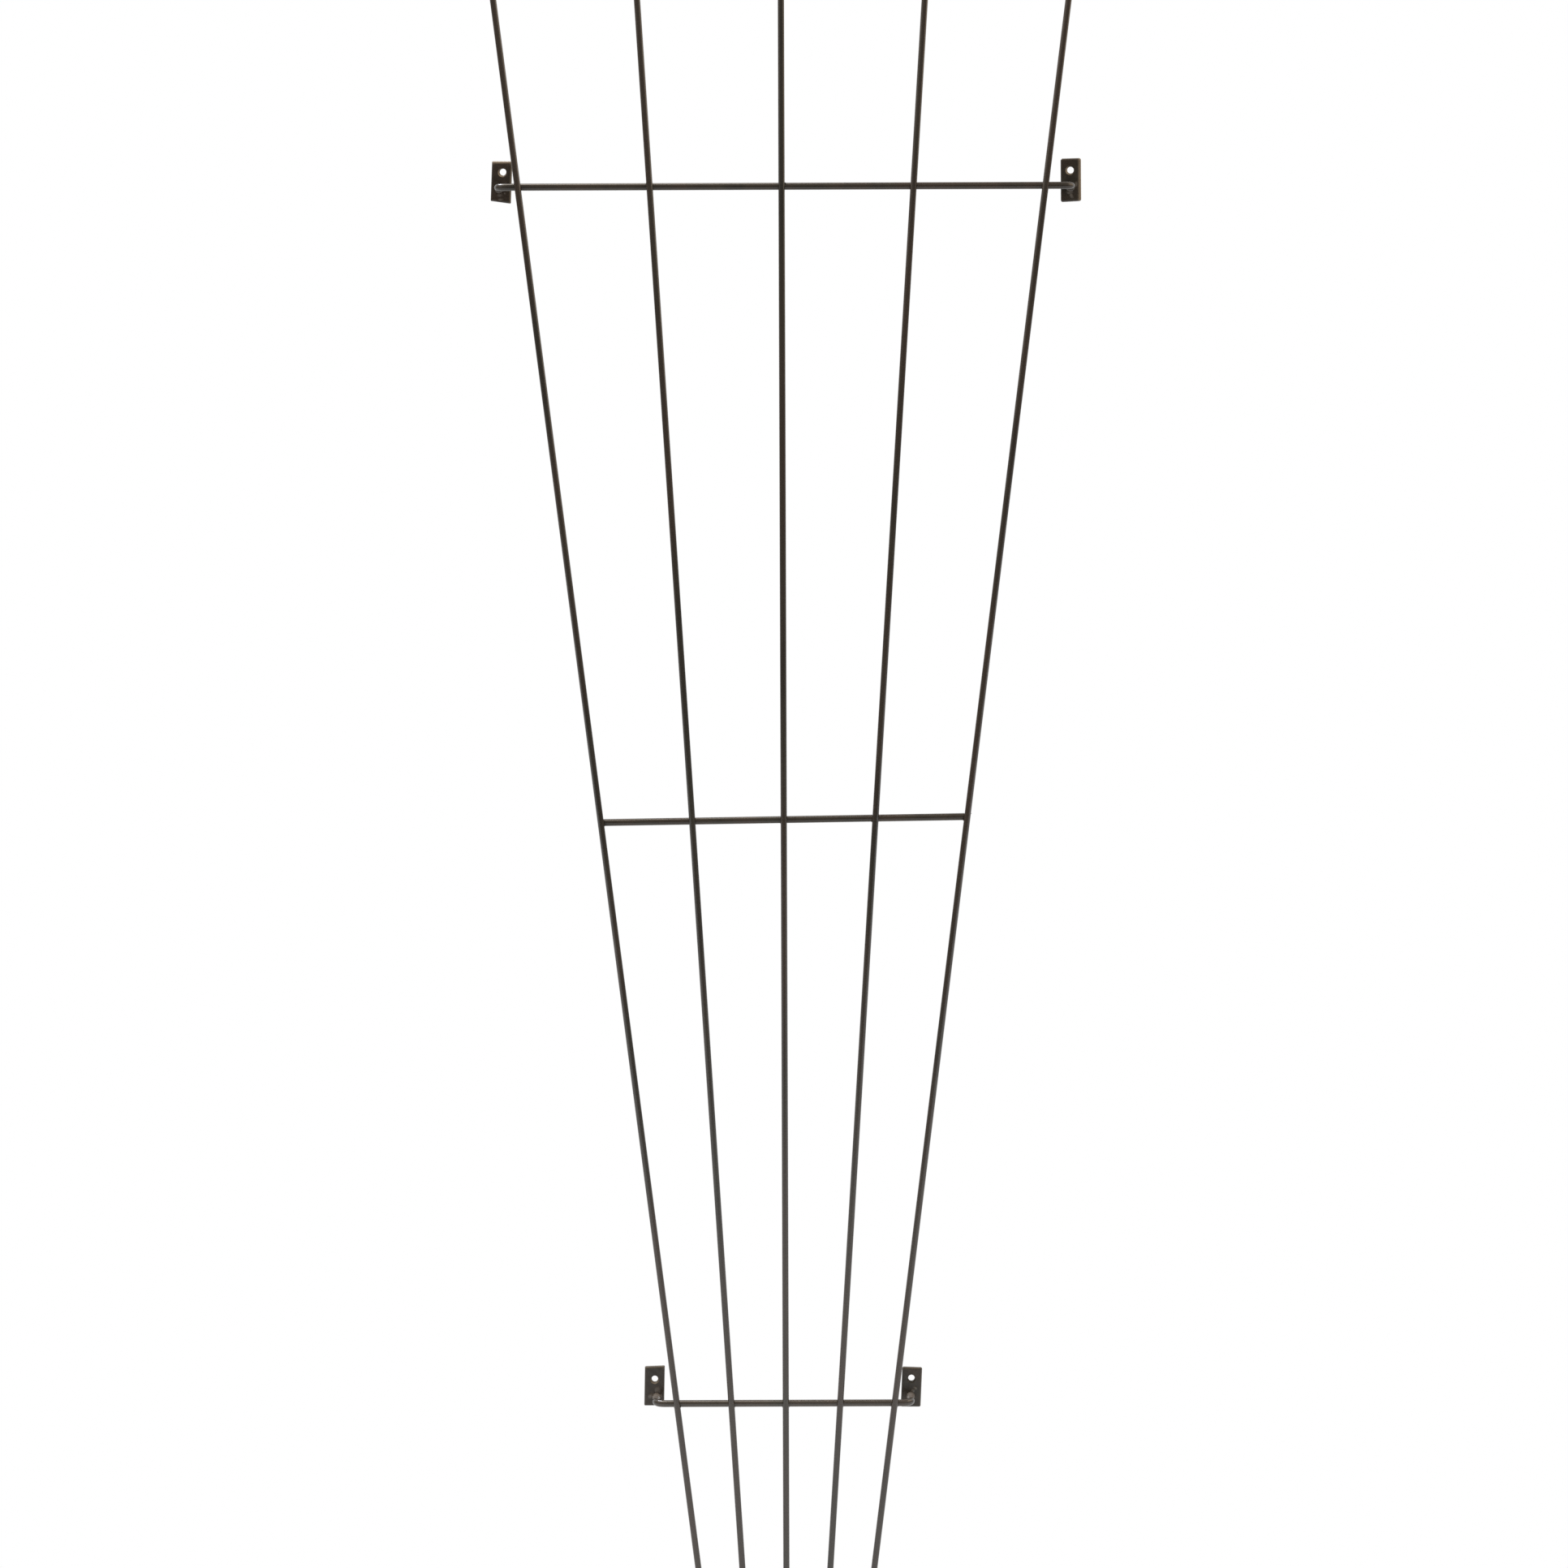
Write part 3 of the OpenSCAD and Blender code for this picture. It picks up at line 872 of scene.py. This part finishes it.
on_drawn = bronze_powder_coat("powder_coat_on_drawn_rod", roughness=0.21, ior=1.7, stretch=8.0, **ON_ROD)
on_rolled = bronze_powder_coat("powder_coat_on_rolled_rod", roughness=0.24, ior=1.5, **ON_ROD)
on_plate = bronze_powder_coat(
    "powder_coat_on_sheared_flat_bar", roughness=0.29, ior=1.5, thin_and_highlight_tone=HIGHLIGHT_TAN, **ON_ROUGH
)
on_weld = bronze_powder_coat(
    "powder_coat_on_weld", roughness=0.32, ior=1.6, thin_and_highlight_tone=WELD_GREY_AND_HIGHLIGHT, **ON_ROUGH
)
coated = {
    on_drawn: [piece for piece in pieces_in["coated_rod"] if piece.name not in ROLLED],
    on_rolled: [piece for piece in pieces_in["coated_rod"] if piece.name in ROLLED],
    on_plate: pieces_in["coated_plate"],
    on_weld: pieces_in["coated_weld"],
}
for finish, pieces in coated.items():
    for piece in pieces:
        piece.data.materials.append(finish)
    print(finish.name, "on", len(pieces), "pieces")

# %% [markdown]
# ## The studio
# The frame stands before a white backdrop on a white floor. The floor ends a few metres in front, and the
# room behind the camera is dim up to a pale ceiling. So the lower rods mirror the floor and the upper ones
# the dim room, which is why the real frame looks grey low down and brown high up. The world makes backdrop,
# room and ceiling from the direction that a ray looks in. The camera sees plain white everywhere, and where
# the backdrop stands, so do glossy and transmission rays.

# %% World
BACKDROP_WHITE = "#ffffff"
BACKDROP_LIT = "#c8c6c3"
DIM_ROOM = "#6a6662"
CEILING = "#d8cdbf"
# Where the ceiling and the backdrop begin and are full, as the upward and backward part of a direction
CEILING_SPAN = {"From Min": -0.02, "From Max": 0.4}
BACKDROP_SPAN = {"From Min": 0.3, "From Max": 0.75}

world = bpy.data.worlds.new("studio")
world.use_nodes = True
tree = world.node_tree
tree.nodes.clear()
look = add(tree, "ShaderNodeSeparateXYZ", {0: add(tree, "ShaderNodeTexCoord").outputs["Generated"]})
rise = {"Value": look.outputs["Z"], **CEILING_SPAN}
overhead = add(tree, "ShaderNodeMapRange", rise, interpolation_type="SMOOTHSTEP").outputs[0]
depth = {"Value": look.outputs["Y"], **BACKDROP_SPAN}
behind = add(tree, "ShaderNodeMapRange", depth, interpolation_type="SMOOTHSTEP").outputs[0]
tones = {MIX_BY: overhead, MIX_FROM: linear(DIM_ROOM), MIX_TO: linear(CEILING)}
front = add(tree, "ShaderNodeMix", tones, data_type="RGBA").outputs[MIXED]
tones = {MIX_BY: behind, MIX_FROM: front, MIX_TO: linear(BACKDROP_LIT)}
room = add(tree, "ShaderNodeMix", tones, data_type="RGBA").outputs[MIXED]
ray = add(tree, "ShaderNodeLightPath").outputs
kinds = {0: ray["Is Glossy Ray"], 1: ray["Is Transmission Ray"]}
mirrored = add(tree, "ShaderNodeMath", kinds, operation="MAXIMUM").outputs[0]
mirrored = add(tree, "ShaderNodeMath", {0: mirrored, 1: behind}, operation="MULTIPLY").outputs[0]
kinds = {0: ray["Is Camera Ray"], 1: mirrored}
shown = add(tree, "ShaderNodeMath", kinds, operation="MAXIMUM").outputs[0]
tones = {MIX_BY: shown, MIX_FROM: room, MIX_TO: linear(BACKDROP_WHITE)}
seen = add(tree, "ShaderNodeMix", tones, data_type="RGBA").outputs[MIXED]
sky = add(tree, "ShaderNodeBackground", {"Color": seen, "Strength": 1.0}).outputs[0]
add(tree, "ShaderNodeOutputWorld", {"Surface": sky})
bpy.context.scene.world = world
print("world:", len(tree.nodes), "nodes")

# %% [markdown]
# The floor is a plain pale sheet at the feet. For the camera and for mirrored rays it is lifted to white.
# Near the feet a part of its own shading is left, so that it keeps the frame's shadow.

# %% Floor
FLOOR_SIDE = 9.0
FLOOR_FRONT = 3.7
FLOOR_PALE = "#e9e7e4"
SHADOW_SHARE = 0.5
SHADOW_REACH = 0.75

floor_z = cad_box[0][2]
across = np.array([-FLOOR_SIDE, FLOOR_SIDE, FLOOR_SIDE, -FLOOR_SIDE])
ahead = np.array([-FLOOR_FRONT, -FLOOR_FRONT, FLOOR_SIDE, FLOOR_SIDE])
corners = np.column_stack([across, ahead, np.full(4, floor_z)])
floor_mesh = bpy.data.meshes.new("floor")
floor_mesh.from_pydata(corners.tolist(), [], [(0, 1, 2, 3)])
floor = bpy.data.objects.new("floor", floor_mesh)
bpy.context.scene.collection.objects.link(floor)
floor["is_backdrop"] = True

matte = bpy.data.materials.new("pale_matte_floor")
matte.use_nodes = True
tree = matte.node_tree
tree.nodes.clear()
spot = add(tree, "ShaderNodeTexCoord").outputs["Object"]
flat_spot = add(tree, "ShaderNodeMapping", {"Vector": spot, "Scale": (1, 1, 0)}).outputs["Vector"]
away = add(tree, "ShaderNodeVectorMath", {0: flat_spot}, operation="LENGTH").outputs["Value"]
fade = {"Value": away, "From Max": SHADOW_REACH, "To Min": 1 - SHADOW_SHARE}
white_share = add(tree, "ShaderNodeMapRange", fade, interpolation_type="SMOOTHSTEP").outputs[0]
ray = add(tree, "ShaderNodeLightPath").outputs
kinds = {0: ray["Is Glossy Ray"], 1: ray["Is Transmission Ray"]}
mirrored = add(tree, "ShaderNodeMath", kinds, operation="MAXIMUM").outputs[0]
kinds = {0: ray["Is Camera Ray"], 1: mirrored}
shown = add(tree, "ShaderNodeMath", kinds, operation="MAXIMUM").outputs[0]
lift = add(tree, "ShaderNodeMath", {0: shown, 1: white_share}, operation="MULTIPLY").outputs[0]
pale = add(tree, "ShaderNodeBsdfDiffuse", {"Color": linear(FLOOR_PALE)}).outputs[0]
white = add(tree, "ShaderNodeEmission", {"Color": linear(BACKDROP_WHITE), "Strength": 1.0}).outputs[0]
mixed = add(tree, "ShaderNodeMixShader", {0: lift, 1: pale, 2: white}).outputs[0]
add(tree, "ShaderNodeOutputMaterial", {"Surface": mixed})
floor.data.materials.append(matte)
print("floor at", round(floor_z, 4))

# %% [markdown]
# The key light is a large warm softbox far to the right, from which the uprights take their lighter right
# side and the plates their lit edges. A weak one on the left fills in. A broad lamp overhead, to the left,
# draws the soft light line along the tops of the bars there. A small bright lamp stands high up, further left
# and behind the frame. No straight rod mirrors it to the camera, so it shows only as the glints in the bends
# on the left. Brightness is written as a multiple of white paper: a lamp needs pi times its area times the
# brightness in watts.

# %% Lights
# Where each lamp stands and the point it faces, its width and height in metres, its brightness and its colour
LAMPS = {
    "softbox_right": ((2.9, 0.2, 1.35), (0, 0, 1.35), (2.4, 2.8), 1.4, "#ffe8cc"),
    "softbox_left": ((-2.8, -0.9, 0.9), (0, 0, 0.3), (1.6, 1.6), 0.6, "#fff8ee"),
    "lamp_above": ((-0.8, 0.2, 2.4), (-0.8, 0.1, 0), (1.6, 1.4), 6.0, "#fff4e6"),
    "lamp_far_left": ((-1.6, 1.2, 2.3), (-0.3, 0, 0), (0.8, 0.8), 36.0, "#f4f6ff"),
}

for name, (place, aim, size, brightness, colour) in LAMPS.items():
    lamp = bpy.data.lights.new(name, "AREA")
    lamp.shape = "RECTANGLE"
    lamp.size, lamp.size_y = size
    lamp.energy = math.pi * brightness * size[0] * size[1]
    lamp.color = linear(colour)[:3]
    box = bpy.data.objects.new(name, lamp)
    turn = (Vector(aim) - Vector(place)).to_track_quat("-Z", "Y")
    box.matrix_world = Matrix.LocRotScale(Vector(place), turn, None)
    box.visible_camera = False
    bpy.context.scene.collection.objects.link(box)
    print(name, round(lamp.energy, 1), "W")

# %% [markdown]
# ## Last lines
# The view transform stays Standard, so a colour comes out as it is written. The two boxes, of the packed
# model and of the dressed one, are printed side by side to show that the dressing hasn't changed the frame's
# size.

# %% Finish
bpy.context.scene.view_settings.view_transform = "Standard"
boxes = {"cad": cad_box, "visual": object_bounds()}
boxes = {key: [list(corner) for corner in box] for key, box in boxes.items()}
print("boxes:", {key: np.round(box, 4).tolist() for key, box in boxes.items()})
